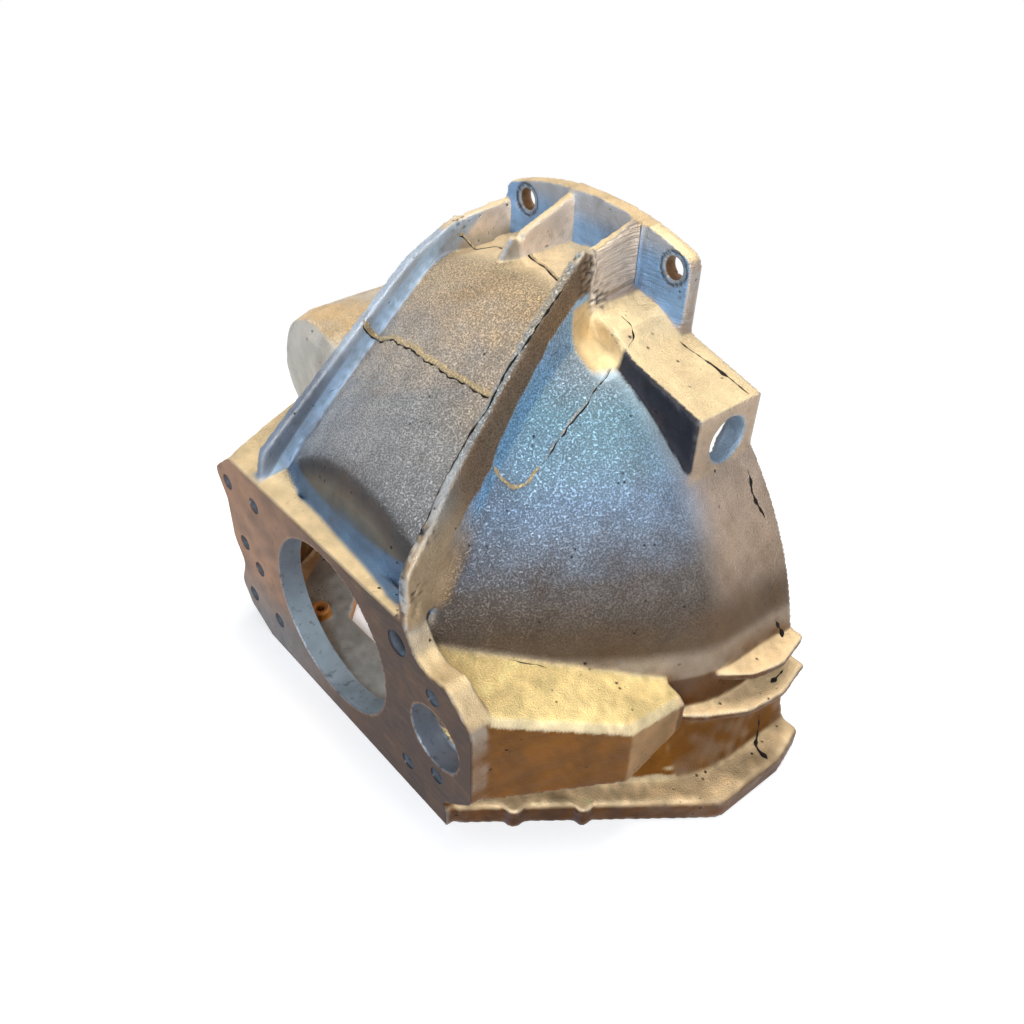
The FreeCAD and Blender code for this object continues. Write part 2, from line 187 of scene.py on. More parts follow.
def arraysOf(mesh):
    points = np.zeros(len(mesh.vertices) * 3, np.float32)
    mesh.vertices.foreach_get("co", points)
    corners = np.zeros(len(mesh.loops), np.int32)
    mesh.loops.foreach_get("vertex_index", corners)
    return points.reshape(-1, 3).astype(float), corners.reshape(-1, 4)


def normalsOf(p, quads):
    # sum of the normals of the faces round each point, made one long
    across = np.cross(p[quads[:, 2]] - p[quads[:, 0]], p[quads[:, 3]] - p[quads[:, 1]])
    total = np.zeros_like(p)
    for k in range(4):
        for axis in range(3):
            total[:, axis] += np.bincount(quads[:, k], across[:, axis], len(p))
    return total / np.maximum(np.linalg.norm(total, axis=1, keepdims=True), 1e-12)


def averager(quads, count):
    # mean of the points that share an edge with each point
    a = np.concatenate([quads[:, 0], quads[:, 1], quads[:, 2], quads[:, 3]])
    b = np.concatenate([quads[:, 1], quads[:, 2], quads[:, 3], quads[:, 0]])
    number = np.maximum(np.bincount(a, minlength=count) + np.bincount(b, minlength=count), 1)

    def mean(values):
        flat = values if values.ndim == 2 else values[:, None]
        out = np.empty_like(flat)
        for axis in range(flat.shape[1]):
            total = np.bincount(a, flat[b, axis], count) + np.bincount(b, flat[a, axis], count)
            out[:, axis] = total / number
        return out if values.ndim == 2 else out[:, 0]

    return mean


def makeSkin():
    # the solid's own mesh welded, remeshed in cubes and smoothed: a step in, a slightly longer step out
    copy = bpy.data.objects.new("skinCopy", housing.data.copy())
    bpy.context.scene.collection.objects.link(copy)
    weld = copy.modifiers.new("weld", "WELD")
    weld.merge_threshold = 0.01 * mm
    cells = copy.modifiers.new("cells", "REMESH")
    cells.mode = "VOXEL"
    cells.voxel_size = skinSizes["voxel"]
    bpy.context.view_layer.update()
    mesh = bpy.data.meshes.new_from_object(copy.evaluated_get(bpy.context.evaluated_depsgraph_get()))
    p, quads = arraysOf(mesh)
    bpy.data.objects.remove(copy)
    bpy.data.meshes.remove(mesh)
    mean = averager(quads, len(p))
    for step in range(3):  # steps of the voxels taken out, volume kept
        p = p + 0.55 * (mean(p) - p)
        p = p - 0.57 * (mean(p) - p)
    print("skin", len(p), "points")
    return p, quads, mean


def machinedMask(p):
    # true on the machined planes and bore walls, false on the raw casting
    x, y, z = p.T / mm
    mask = (x < 1.2) | (x > backX - 1.2) | (z < jointZ + 1.2)
    for by, bz, br, x0, x1 in boreList:
        mask |= (np.hypot(y - by, z - bz) < br + 1.2) & (x < x1 + 1.0)
    return mask


points, quads, mean = makeSkin()
fixed = machinedMask(points)
raw = points.copy()


def deepCorners(p):
    # 1 where the casting has large fillets: under the flange, at the nose's foot, along the right rib
    x, y, z = p.T / mm
    flange = ramp(x, 148.0, 160.0) * ramp(np.hypot(y, z), 160.0, 168.0) * ramp(z, 120.0, 150.0)
    noseFoot = window(x, 8.0, 24.0, 4.0) * window(z, 58.0, 78.0, 3.0) * window(y, -66.0, 86.0, 3.0)
    ribFoot = window(x, 0.0, 150.0, 6.0) * window(ribAt(x) - y, 2.0, 26.0, 3.0) * ramp(z, 46.0, 56.0) * 0.9
    return np.clip(flange + noseFoot + ribFoot, 0.0, 1.0)


def roundNose(p):
    # 1 at the low end of the panel, which is a round nose between the ribs
    x, y, z = p.T / mm
    mask = window(x, 18.0, 40.0, 7.0) * window(y - ribAt(x), 7.0, 400.0, 3.0)
    mask *= ramp(y, leftRibY, leftRibY - 2.0) * ramp(z, 60.0, 68.0)
    return mask * ramp(np.hypot(y, z) - panelCone["slope"] * x, 58.0, 66.0)


deep = deepCorners(raw)
nose = roundNose(raw)
for step in range(skinSizes["deepRounds"]):
    # inner corners fill up: a point only moves outwards, towards the mean of its neighbours
    if step % 4 == 0:
        normal = normalsOf(points, quads)
    out = np.maximum(((mean(points) - points) * normal).sum(1), 0.0)
    out[fixed] = 0.0
    if step >= skinSizes["fillRounds"]:
        out *= deep
    points = points + skinSizes["fillPull"] * out[:, None] * normal
for step in range(skinSizes["noseRounds"]):
    points = points + skinSizes["nosePull"] * nose[:, None] * (mean(points) - points)
for step in range(skinSizes["easeRounds"]):
    pull = mean(points) - points
    pull[fixed] = 0.0
    points = points + skinSizes["easePull"] * pull
fill = np.linalg.norm(points - raw, axis=1) / mm
normal = normalsOf(points, quads)

# marks in the raw casting, in mm: rough blobs as (place, reach, height)
blobs = [((142.7, -38.0, 205.7), 5.0, 1.0), ((152.4, -40.0, 197.0), 6.0, 1.3),
         ((148.6, -41.0, 189.4), 5.0, 1.0), ((155.7, 76.0, 184.0), 5.0, 0.9),
         ((161.5, -37.2, 177.9), 6.0, 0.9), ((7.0, -76.5, 80.0), 8.0, 0.4),
         ((5.0, -77.0, 68.0), 7.0, 0.4), ((20.0, -74.0, 109.0), 7.0, 0.3), ((0.0, -106.0, 27.0), 7.0, 0.5)]
lump = (waves(points, 15 * mm, 3) * 0.6 + waves(points, 7 * mm, 4) * 0.4) * skinSizes["lump"]
knots = waves(points, 5.0 * mm, 5)
for place, reach, height in blobs:
    away = np.linalg.norm(points / mm - np.array(place), axis=1)
    lump += np.exp(-(away / reach) ** 2) * knots * height * mm
lump[fixed] = 0.0
points = points + normal * lump[:, None]


def snapMachined(p):
    # machined planes and bores are put back exactly
    x, y, z = p.T / mm
    x = np.where(np.abs(x) < skinSizes["snap"], 0.0, x)
    x = np.where(np.abs(x - backX) < skinSizes["snap"], backX, x)
    z = np.where(np.abs(z - jointZ) < skinSizes["snap"], jointZ, z)
    for by, bz, br, x0, x1 in boreList:
        r = np.hypot(y - by, z - bz)
        near = (np.abs(r - br) < 1.0) & (x < x1 + 0.5)
        k = np.where(near, br / np.maximum(r, 1e-6), 1.0)
        y = by + (y - by) * k
        z = bz + (z - bz) * k
    return np.stack([x, y, z], 1) * mm


earHoles = [(-59.0, 192.04), (59.0, 192.04)]
earSizes = {"hole": 6.5, "spot": 9.2, "back": 195.0, "sink": 0.9}


def spotFaces(p, sizes):
    # through holes in the ears, each in a shallow turned seat on the back of the flange
    x, y, z = p.T / mm
    for ey, ez in earHoles:
        r = np.hypot(y - ey, z - ez)
        seat = (r < sizes["spot"] + 0.4) & (np.abs(x - sizes["back"]) < 1.8)
        x = np.where(seat, sizes["back"] + sizes["sink"], x)
        wall = (np.abs(r - sizes["hole"]) < 1.2) & (x > sizes["back"] - 2.0)
        k = np.where(wall, sizes["hole"] / np.maximum(r, 1e-6), 1.0)
        y = ey + (y - ey) * k
        z = ez + (z - ez) * k
    return np.stack([x, y, z], 1) * mm


def wearLightAndShadeOf(p, n):
    # edges stand out from the mean of their neighbours and are painted bright, wear and painted highlight;
    # inner corners are painted darker, painted shade and grime; the fillets at the panel's nose and the rib's
    # low end are kept free of that painted shade
    bend = ((mean(p) - p) * n).sum(1) / mm
    bend = 0.6 * bend + 0.4 * mean(bend)
    x, y, z = p.T / mm
    keptUnshaded = window(x, 0.0, 34.0, 6.0) * window(z, 46.0, 74.0, 4.0) * window(y, -90.0, 80.0, 4.0)
    return np.clip(-bend * 8.0 - 0.45, 0.0, 1.0), np.clip(bend * 7.0 - 0.1, 0.0, 1.0) * (1.0 - keptUnshaded)


points = np.clip(spotFaces(snapMachined(points), earSizes), np.array(cadBox[0]), np.array(cadBox[1]))
normal = normalsOf(points, quads)
edgeWearAndHighlight, cornerShadeAndGrime = wearLightAndShadeOf(points, normal)
print("skin shaped, fill up to", round(float(fill.max()), 2), "mm")

# shades of the raw casting, as a screen shows them; many are painted light and shade: lit tops, sides in warm
# light, blue sheen, highlights and shadows
shade = {"plain": hue(170, 160, 146), "warmTopLight": hue(232, 206, 160), "blueFrontSheen": hue(130, 167, 210),
         "warmSideLight": hue(114, 70, 8), "umber": hue(84, 48, 10), "soot": hue(30, 26, 22),
         "flankFar": hue(172, 150, 130), "flankLow": hue(104, 84, 66), "noseFoot": hue(90, 114, 140),
         "ribSide": hue(168, 172, 174), "ribWarmSideLight": hue(128, 104, 80), "ribCrest": hue(190, 176, 150),
         "ribCreviceShade": hue(44, 36, 30), "ribFoot": hue(186, 160, 124), "coveSheen": hue(146, 200, 244),
         "leftRib": hue(176, 192, 212), "leftRibLow": hue(116, 130, 150), "leftRibHighlight": hue(186, 216, 246),
         "gusset": hue(236, 218, 200), "crown": hue(238, 216, 178), "flangeMid": hue(196, 186, 170),
         "flangeLitEdge": hue(214, 188, 146), "bossLitTop": hue(240, 216, 172), "bossShadowSide": hue(50, 51, 60),
         "bossEnd": hue(188, 166, 144), "crossBore": hue(150, 172, 192), "tunnelLitTop": hue(240, 214, 152),
         "tunnelNose": hue(152, 118, 78), "tunnelEdgeHighlight": hue(240, 226, 190), "pocket": hue(190, 188, 181),
         "pocketLitTop": hue(214, 184, 140), "rimLitTop": hue(244, 214, 168), "inside": hue(206, 138, 58),
         "insideFloor": hue(176, 182, 180), "faceDark": hue(50, 24, 6), "faceLight": hue(142, 104, 78),
         "faceCold": hue(96, 108, 116), "bore": hue(124, 132, 144), "boreLowSheen": hue(158, 180, 194),
         "holeRimSheen": hue(150, 176, 200), "holeDepthShade": hue(44, 42, 44), "spotFace": hue(150, 176, 204),
         "seatEdgeShade": hue(70, 82, 98), "earHole": hue(126, 92, 60)}
# along the panel by x, down the right flank by z, and down the panel's nose by radius, all in mm; painted
# light: the panel in painted shade at the nose and painted warm light toward the crown, the flank's painted
# blue sheen, and the nose in painted shade with a painted blue sheen at its root
panelLightShades = [(24, hue(112, 114, 118)), (34, hue(160, 162, 166)), (60, hue(168, 168, 168)),
               (100, hue(196, 182, 166)), (132, hue(230, 202, 164)), (160, hue(248, 228, 190))]
flankSheenShades = [(28, hue(98, 80, 62)), (46, hue(104, 90, 78)), (70, hue(116, 112, 112)),
               (106, hue(146, 171, 200)), (136, hue(178, 222, 244)), (154, hue(206, 222, 238))]
noseShadeAndSheen = [(64, hue(90, 114, 140)), (70, hue(78, 102, 130)), (77, hue(92, 98, 100)),
              (84, hue(106, 102, 94)), (92, hue(72, 70, 70))]
# borders of painted light: where the painted blue sheen at the nose's foot ends on the plate, and where the
# right rib's side in painted warm light ends in the painted blue sheen of the cove at its foot
footBorder = {"y": [-56.0, -50.3, -27.3, -6.6, 18.9, 41.8, 62.0, 72.0],
              "x": [5.0, 6.4, 8.7, 9.8, 12.0, 13.2, 18.0, 21.0]}
ribBorder = {"x": [35.7, 52.1, 68.7, 76.8, 93.3, 106.5, 116.5, 126.8, 141.0],
             "z": [96.4, 108.1, 121.0, 133.0, 148.8, 161.5, 169.4, 176.1, 183.0]}
# the tunnel's own form by x: its top at the outer edge and its outer face
tunnelForm = {"x": [10.0, 73.0, 114.0], "top": [20.8, 17.5, 12.5], "front": [-132.5, -177.0, -177.0]}


def blendOf(value, shades):
    # the shade at each value, straight between the named stops
    places = [row[0] for row in shades]
    return np.stack([np.interp(value, places, [row[1][c] for row in shades]) for c in range(3)], 1)


def boxAway(x, y, z):
    # how far, in mm, a point lies outside the tunnel's own form
    top = np.interp(x, tunnelForm["x"], tunnelForm["top"]) + 0.19 * (y + 177.0)
    front = np.interp(x, tunnelForm["x"], tunnelForm["front"])
    return np.maximum.reduce([z - top, front - y, x - 116.0, 12.0 - x, y + 70.0])


class Coat:
    # the casting's paint: one colour for each point, shades laid over each other by place and by facing; the
    # shades by facing are mostly painted light and shade
    def __init__(self, p, n):
        self.p = p
        self.n = n
        self.x, self.y, self.z = p.T / mm
        self.up = ramp(n[:, 2], 0.35, 0.9)
        self.front = -n[:, 0]
        self.right = -n[:, 1]
        self.reach = np.maximum(np.hypot(self.y, self.z), 1.0)
        self.outward = (n[:, 1] * self.y + n[:, 2] * self.z) / self.reach
        self.cone = self.reach - panelCone["slope"] * self.x
        self.offRib = self.y - ribAt(self.x)
        self.onTunnel = 1.0 - ramp(boxAway(self.x, self.y, self.z), 0.5, 2.5)
        self.onRim = ramp(self.z, -54.0, -58.0)
        self.onFlangeBack = ramp(self.front, 0.7, 0.95) * window(self.x, 190.0, 200.0, 2.0)
        self.mottle = waves(p, 38 * mm, 21) * 0.35 + waves(p, 13 * mm, 22) * 0.25
        self.tint = np.tile(np.array(shade["plain"]), (len(p), 1))

    def over(self, colour, mask):
        share = np.clip(mask, 0.0, 1.0)[:, None]
        self.tint = self.tint * (1.0 - share) + np.array(colour) * share


def paintBell(coat):
    # the whole casting first, then the panel, the right flank and the panel's nose
    x, y, z, mottle = coat.x, coat.y, coat.z, coat.mottle
    # painted warm light on every face that looks up
    coat.over(shade["warmTopLight"], coat.up * 0.9)
    # painted blue reflection on faces turned to -x
    coat.over(shade["blueFrontSheen"], ramp(coat.front, 0.55, 0.95) * 0.9)
    # painted warm light on the low sides that face -y, mottled
    coat.over(shade["warmSideLight"], ramp(coat.right, 0.3, 0.8) * ramp(z, 45.0, 0.0) * (0.85 + 0.3 * mottle))
    panel = window(coat.offRib, 1.6, 400.0, 0.8) * window(y, -200.0, leftRibY, 1.0) * ramp(x, 22.0, 26.0)
    panel *= ramp(coat.outward, 0.3, 0.6) * ramp(z, 60.0, 75.0) * ramp(coat.cone, 68.0, 73.0)
    # the panel: painted shade at its nose end, painted warm light toward the crown
    coat.over(blendOf(x + mottle * 14.0 * ramp(x, 34.0, 60.0), panelLightShades), panel)
    flank = ramp(-coat.offRib, 2.5, 5.0) * ramp(coat.outward, 0.15, 0.45) * ramp(z, 24.0, 34.0)
    flank *= ramp(x, 15.0, 19.0) * ramp(boxAway(x, y, z), 1.0, 5.0)
    # the right flank: a painted blue sheen high up, browner low down
    coat.over(blendOf(z + mottle * 4.0 - 0.08 * (x - 90.0), flankSheenShades), flank)
    coat.over(shade["flankFar"], flank * ramp(x, 138.0, 168.0) * ramp(z, 34.0, 70.0) * 0.9)
    coat.over(shade["flankLow"], flank * ramp(x, 128.0, 150.0) * ramp(z, 56.0, 36.0) * 0.8)
    # the nose between the ribs: painted shade, with a painted blue sheen at its root
    nose = ramp(coat.front, 0.5, 0.85) * window(coat.reach, 63.0, 97.0, 2.0) * ramp(x, 31.0, 26.0)
    coat.over(blendOf(coat.reach, noseShadeAndSheen), nose * ramp(coat.offRib, 1.0, 4.0) * ramp(x, 12.0, 15.0))
    # a painted blue sheen on the plate at the nose's foot
    pastBorder = x - np.interp(y, footBorder["y"], footBorder["x"])
    foot = ramp(pastBorder, -1.0, 2.5) * window(z, 60.0, 71.0, 3.0)
    coat.over(shade["noseFoot"], foot * window(y, -66.0, 74.0, 2.0) * ramp(x, 30.0, 24.0))


def paintRibs(coat):
    # the right rib with its side in painted warm light, its low end painted dark as shade in the crevice and
    # soot, and a painted blue sheen in its cove; the gussets, and the left rib
    x, y, z, mottle = coat.x, coat.y, coat.z, coat.mottle
    onRight = window(coat.offRib, -4.6, 1.2, 1.0) * ramp(z, 62.0, 70.0) * window(x, 0.0, 157.0, 3.0)
    coat.over(shade["ribSide"], onRight * ramp(coat.cone, 71.0, 78.0))
    # the rib's side facing -y in painted warm light
    coat.over(shade["ribWarmSideLight"], onRight * ramp(coat.right, 0.35, 0.6) * ramp(x, 20.0, 50.0))
    # painted shade with soot, near black and ragged, on the low end's panel side
    creviceDark = window(coat.offRib, -0.6, 7.0, 1.2) * ramp(x, 38.0, 14.0) * window(z, 62.0, 130.0, 3.0)
    coat.over(shade["ribCreviceShade"], creviceDark * ramp(mottle + knots / 5.0, -0.5, 0.1) * 0.9)
    # the cove at the rib's foot in the flank's painted blue sheen, with a brighter painted blue band
    aboveBorder = z - np.interp(x, ribBorder["x"], ribBorder["z"]) + mottle * 1.5
    coveSheen = ramp(aboveBorder, 1.5, -1.5) * window(x, 36.0, 150.0, 6.0)
    coveSheen *= window(-coat.offRib, 1.5, 9.0, 2.0) * ramp(z, 60.0, 90.0)
    coat.over(blendOf(z - 6.0, flankSheenShades), coveSheen)
    coat.over(shade["coveSheen"], coveSheen * window(-coat.offRib, 2.5, 5.5, 1.5) * ramp(x, 46.0, 66.0) * 0.75)
    # painted warm light on the boss's root, which looks up
    bossRoot = window(x, 140.0, 158.0, 3.0) * window(y, -67.0, -40.0, 2.0) * window(z, 152.0, 178.0, 3.0)
    coat.over(shade["warmTopLight"], bossRoot)
    gussets = ramp(np.abs(coat.right), 0.6, 0.9) * window(x, 156.0, 194.0, 3.0) * ramp(z, 168.0, 180.0)
    coat.over(shade["gusset"], gussets)
    coat.over(shade["ribCrest"], onRight * ramp(coat.n[:, 2], 0.75, 0.95) * ramp(x, 60.0, 110.0))
    onLeft = window(y, 70.6, 81.0, 1.5) * ramp(z, 62.0, 68.0) * ramp(x, 194.0, 186.0)
    coat.over(shade["leftRib"], onLeft * ramp(coat.cone, 66.0, 72.0) * 0.95)
    coat.over(shade["leftRibLow"], onLeft * ramp(x + mottle * 8.0, 76.0, 44.0) * 0.9)
    # a painted highlight: a thin bright blue band along the left rib
    highlightBand = ramp(coat.right, 0.5, 0.9) * window(coat.cone, 81.0, 88.0, 2.0)
    coat.over(shade["leftRibHighlight"], onLeft * highlightBand * 0.8)
    footOut = ramp(coat.right + coat.n[:, 2] * 0.5, 0.2, 0.8) * window(-coat.offRib, -3.5, 6.0, 4.0)
    footOut *= ramp(x, 62.0, 30.0) * ramp(z, 56.0, 66.0) * ramp(z, 128.0, 100.0)
    coat.over(shade["ribFoot"], footOut * 0.8)


def paintFlange(coat):
    # the back of the engine flange, the crown below it and the flange's top edge; the crown's upward faces
    # and the top edge are painted as lit by warm light
    x, y, z = coat.x, coat.y, coat.z
    # painted blue reflection on the flange's back, which is turned to -x
    coat.over(shade["blueFrontSheen"], coat.onFlangeBack)
    middle = window(y, -60.0, 60.0, 6.0) * coat.onFlangeBack * ramp(z, 190.0, 206.0)
    coat.over(shade["flangeMid"], middle * 0.6)
    # the crown's upward faces in painted warm light
    crown = window(x, 146.0, 196.0, 5.0) * window(z, 150.0, 200.0, 3.0) * coat.up
    coat.over(shade["crown"], crown * ramp(coat.offRib, 0.0, 3.0) * 0.9)
    coat.over(shade["flangeLitEdge"], window(x, 194.0, 205.0, 1.0) * coat.up * ramp(z, 195.0, 205.0))


def paintSides(coat):
    # the boss, the tunnel, the starter pocket, the bottom rim and the two ledges; their tops are painted as
    # lit, the boss's -x face as painted shadow, the tunnel's edge as a painted highlight
    x, y, z, up, mottle = coat.x, coat.y, coat.z, coat.up, coat.mottle
    onBoss = window(x, 153.0, 205.0, 1.0) * window(y, -125.0, -40.0, 2.0) * ramp(z, 98.0, 106.0)
    onBoss *= ramp(coat.reach - 165.0 - 2.0 * (y < -118.0), 1.0, 4.0)
    # the boss's top painted as lit by warm light
    coat.over(shade["bossLitTop"], onBoss * up)
    # painted shadow on the boss's face turned to -x
    shadow = window(x, 150.0, 158.5, 1.0) * ramp(coat.front, 0.30, 0.42) * ramp(-y, 65.0, 67.0)
    coat.over(shade["bossShadowSide"], shadow * window(z, 106.0, 168.0, 3.0))
    bossEnd = ramp(-y, 121.0, 122.5) * ramp(coat.right, 0.7, 0.95) * window(z, 100.0, 146.0, 2.0)
    coat.over(shade["bossEnd"], bossEnd * window(x, 153.0, 204.5, 1.0) * ramp(-y, 126.0, 124.0))
    # the tunnel's top painted as lit, its sides facing -y in painted warm side light
    coat.over(shade["tunnelLitTop"], coat.onTunnel * up)
    coat.over(shade["warmSideLight"], coat.onTunnel * ramp(coat.right, 0.3, 0.7) * (1.0 - up))
    coat.over(shade["tunnelNose"], coat.onTunnel * ramp(coat.right, 0.85, 0.97) * ramp(x, 71.0, 75.0))
    # a painted highlight along the tunnel's edge between top and side
    edgeLit = window(coat.n[:, 2], 0.5, 0.8, 0.1) * ramp(coat.right, 0.3, 0.5)
    coat.over(shade["tunnelEdgeHighlight"], coat.onTunnel * edgeLit * 0.5)
    onPocket = ramp(y, 84.0, 90.0) * ramp(z, 64.0, 72.0) * ramp(x, 60.0, 64.0)
    coat.over(shade["pocket"], onPocket)
    # the pocket's top painted as lit
    coat.over(shade["pocketLitTop"], onPocket * ramp(coat.n[:, 2], 0.5, 0.9) * (0.75 + 0.4 * mottle))
    coat.over(shade["umber"], coat.onRim * (0.9 + 0.2 * mottle))
    # the tops of the rim and the ledges painted as lit
    coat.over(shade["rimLitTop"], coat.onRim * up * (0.8 + 0.5 * mottle))
    onLedge = window(x, 110.0, 205.0, 1.0) * ramp(-y, 150.0, 160.0) * window(z, -13.0, 13.0, 1.0)
    coat.over(shade["rimLitTop"], onLedge * up)
    coat.over(shade["umber"], onLedge * (1.0 - up) * 0.8)


def paintInside(coat):
    # inner walls face the crank axis and lie under the bell's own outer form; then the gearbox face
    x, y, z = coat.x, coat.y, coat.z
    high = z > 60.0
    panelR = np.minimum(panelCone["start"] + panelCone["slope"] * x, panelCone["end"])
    between = window(coat.offRib, 2.0, 400.0, 1.0) * ramp(y, leftRibY + 1.0, leftRibY - 1.0) > 0.5
    topR = np.where(between, panelR, np.interp(x, bellForm["x"], bellForm["crown"]))
    sideY = np.interp(x, bellForm["x"], bellForm["wide"])
    under = np.where(high, topR, sideY) - np.where(high, coat.reach, np.abs(y))
    inner = ramp(-coat.outward, 0.2, 0.5) * ramp(x, 14.0, 16.5) * ramp(under, 2.5, 4.5)
    inner *= ramp(boxAway(x, y, z), 0.0, 2.0)
    coat.over(shade["inside"], inner)
    onFace = ramp(x, 0.4, 0.1)
    coat.over(shade["faceDark"], onFace)
    coat.over(shade["faceLight"], onFace * ramp(y, -60.0, 110.0) * (0.9 + 0.3 * coat.mottle))
    coat.over(shade["faceCold"], onFace * ramp(z, -10.0, -60.0) * ramp(y, -20.0, 60.0) * 0.7)
    coat.over(shade["insideFloor"], inner * coat.up * ramp(z, -56.0, -60.0))


def paintBores(coat):
    # bore walls, the main bore with a painted blue sheen low down, small holes with a painted sheen at the
    # rim and painted shade deep inside
    x, y, z = coat.x, coat.y, coat.z
    for by, bz, br, x0, x1 in boreList:
        onBore = ramp(np.hypot(y - by, z - bz), br + 1.6, br + 0.6) * ramp(x, x1 + 0.6, x1)
        coat.over(shade["bore"], onBore * ramp(x, 0.2, 0.8))
        if br > 30.0:
            coat.over(shade["boreLowSheen"], onBore * ramp(z, 10.0, -40.0) * ramp(x, 0.8, 1.6))
        if br < 10.0:
            coat.over(shade["holeRimSheen"], onBore * ramp(x, 0.2, 0.8) * ramp(y - by, 2.0, -3.0))
            coat.over(shade["holeDepthShade"], onBore * ramp(x, 2.0, 7.0))
    inCrossBore = ramp(np.hypot(x - 182.0, z - 123.5), 14.4, 13.8) * ramp(-y, 105.0, 108.0)
    coat.over(shade["crossBore"], inCrossBore)
    for ey, ez in earHoles:
        r = np.hypot(y - ey, z - ez)
        coat.over(shade["spotFace"], coat.onFlangeBack * window(r, 6.0, 9.0, 0.6))
        # a painted shade line at the edge of each ear hole's seat
        coat.over(shade["seatEdgeShade"], coat.onFlangeBack * window(r, 9.3, 9.8, 0.5) * 0.5)
        coat.over(shade["earHole"], ramp(x, 195.6, 196.6) * ramp(r, 8.0, 7.0))


def paintCasting(p, n):
    coat = Coat(p, n)
    for paint in (paintBell, paintRibs, paintFlange, paintSides, paintInside, paintBores):
        paint(coat)
    blotch = np.clip(waves(p, 24 * mm, 27) * 0.5 + waves(p, 9 * mm, 28) * 0.35, -1.0, 1.0)[:, None]
    share = (0.10 + 0.12 * coat.onTunnel + 0.08 * coat.onRim)[:, None]
    return np.clip(coat.tint * (1.0 + share * blotch), 0.0, 1.0)


def sandOf(p, n):
    # where the grain of the sand mould shows: on the panel and the right flank, away from the boss's root,
    # the right rib's low end, the plate and the machined planes
    x, y, z = p.T / mm
    sand = ramp(z, 20.0, 60.0) * ramp((n * p).sum(1) / mm, 20.0, 60.0)
    sand *= 1.0 - 0.85 * ramp(x, 138.0, 156.0)
    sand *= ramp(x, 13.0, 22.0) * (1.0 - 0.7 * ramp(y, 71.0, 74.0))
    sand *= 1.0 - window(y, -68.0, -38.0, 3.0) * ramp(x, 134.0, 143.0)
    sand *= 1.0 - 0.8 * window(ribAt(x) - y, -8.0, 4.0, 4.0) * ramp(x, 60.0, 36.0)
    sand[fixed] = 0.0
    return sand


def scoresOf(p, n):
    # score marks on the end gusset's side and, weaker, on the boss's root
    x, y, z = p.T / mm
    gusset = ramp(np.abs(n[:, 1]), 0.4, 0.7) * window(x, 158.0, 196.0, 3.0) * window(y, -40.0, -32.0, 1.0)
    root = window(x, 158.0, 200.0, 3.0) * window(y, -76.0, -40.0, 3.0) * ramp(z, 158.0, 164.0)
    return gusset * window(z, 178.0, 208.0, 3.0) + root * 0.4


tint = paintCasting(points, normal)
sand = sandOf(points, normal)
scored = scoresOf(points, normal)
# the painted shade in the grain's hollows darkens the sanded parts, so their colour is raised as far as it
# stays a colour
gain = np.minimum(1.0 + 0.34 * sand, np.maximum(0.84 / tint.max(axis=1), 1.0 - 0.2 * sand))
tint = tint * gain[:, None]
print("casting painted")

# finishes, all on Object coordinates in metres
castLook = {"soot": shade["soot"], "bright": hue(224, 220, 210), "rust": hue(112, 78, 44), "grain": 980.0,
            "glintGain": (1.35, 1.35, 1.35)}


def castMetal(name, look):
    # sand-cast metal: the painted colour with grain, rust clouds, dirt specks, pits, painted shade in the
    # grain's hollows and inner corners, painted glints on the grain, and worn edges painted bright with a
    # painted highlight
    bench = Bench(name)
    coords = bench.node("ShaderNodeTexCoord", {}, {}, out=3)
    grain = bench.noise(coords, look["grain"], 2.0, 0.6).between(0.39, 0.61)
    fine = bench.noise(coords, look["grain"] * 2.2, 2.0, 0.6).between(0.3, 0.7)
    cloud = bench.noise(coords, 30.0, 5.0, 0.62, 0.6)
    speck = bench.noise(coords, 170.0, 4.0, 0.7, 0.4)
    sanded = bench.mark("sand")
    colour = bench.paint("tint")
    colour = bench.mix(cloud.between(0.5, 0.72) * 0.30, colour, look["rust"])
    # dirt specks, and inner corners painted darker: painted shade with grime
    dirtAndCornerShade = (bench.mark("cornerShadeAndGrime") * 0.75 + speck.between(0.64, 0.74) * 0.3 * (1.0 - sanded * 0.6)).clamp()
    colour = bench.mix(dirtAndCornerShade, colour, look["soot"])
    # painted shade in the hollows of the grain
    hollowShade = (1.0 - grain) * (0.04 + sanded * 0.50)
    colour = bench.mix(hollowShade, colour, look["soot"])
    # painted glints on the grain's tops
    paintedGlint = (grain * fine).between(0.45, 0.80) * (0.03 + sanded * 0.75)
    colour = bench.mix(paintedGlint, colour, bench.mix(1.0, colour, look["glintGain"], "MULTIPLY"))
    pits = bench.node("ShaderNodeTexVoronoi", {"feature": "F1"}, {"Vector": coords, "Scale": 150.0})
    pit = (1.0 - pits.between(0.05, 0.16)) * bench.noise(coords, 55.0, 3.0, 0.6).between(0.52, 0.58)
    colour = bench.mix(pit * 0.9, colour, look["soot"])
    # worn edges painted bright: wear with a painted highlight
    shine = (bench.mark("edgeWearAndHighlight") * cloud.between(0.32, 0.55)).clamp()
    colour = bench.mix(shine * 0.25, colour, look["bright"])
    across = bench.node("ShaderNodeMapping", {}, {"Vector": coords, "Rotation": (0.0, 0.9, 0.0),
                                                  "Scale": (30.0, 30.0, 560.0)})
    score = bench.noise(across, 1.0, 3.0, 0.6) * bench.mark("scored")
    relief = grain * (0.12 + sanded * 0.95) + fine * 0.12 - pit * 1.5 + score * 3.0 + cloud * 0.8
    bump = bench.node("ShaderNodeBump", {}, {"Strength": 1.0, "Distance": 0.0012, "Height": relief})
    rough = 0.46 - shine * 0.14 - paintedGlint * 0.2 + dirtAndCornerShade * 0.25
    return bench.finish(Base_Color=colour, Roughness=rough, Metallic=0.7, Normal=bump)


